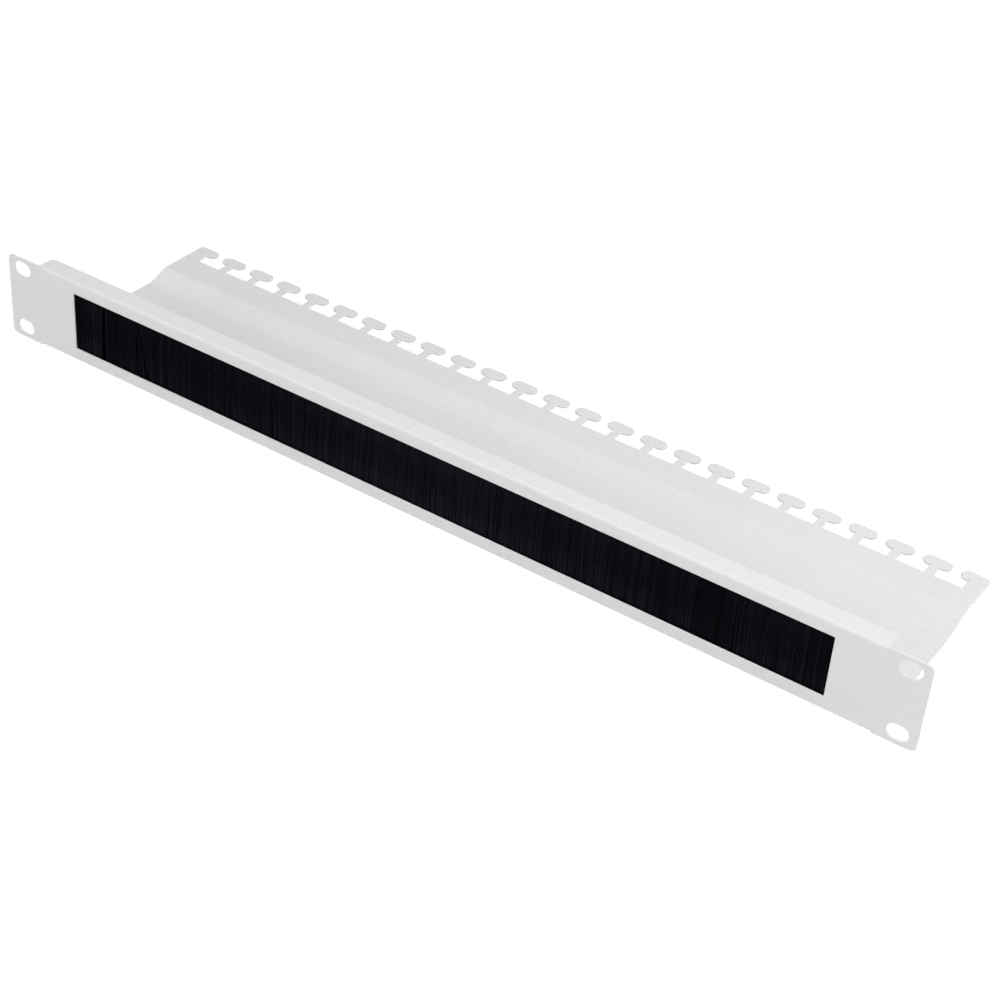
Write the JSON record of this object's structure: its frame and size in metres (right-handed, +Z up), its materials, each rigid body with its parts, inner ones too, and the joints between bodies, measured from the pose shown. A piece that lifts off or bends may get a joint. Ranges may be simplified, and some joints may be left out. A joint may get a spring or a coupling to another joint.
{
  "type": "rack brush strip panel",
  "caption": "Rack panel one unit high with a brush-filled cable window, a folded top flange, slotted ears and a stepped rear cable tray ending in a comb of T-shaped tie tabs.",
  "frame": {"origin": "centre of the four rack slots, on the rear face of the upright plate, which seats on the rack rails", "axes": "+X across the rack along the panel's width, +Y to the rear along the tray, +Z up"},
  "size_m": [0.4826, 0.1162, 0.043],
  "materials": {
    "powder_coat": "light grey powder coat, fine texture, semi-matt",
    "galvanised_strip": "galvanised steel strip, dull",
    "wire": "plain steel wire",
    "bristles": "black nylon filament, satin",
    "zinc_fasteners": "bright zinc plate"
  },
  "bodies": {
    "root": {"folded_panel": "powder_coat", "brush_channel": "galvanised_strip", "core_wire": "wire", "bristle_curtain": "bristles", "clamp_rail": "galvanised_strip", "weld_studs": "zinc_fasteners", "washers": "zinc_fasteners", "nuts": "zinc_fasteners"}
  },
  "joints": []
}
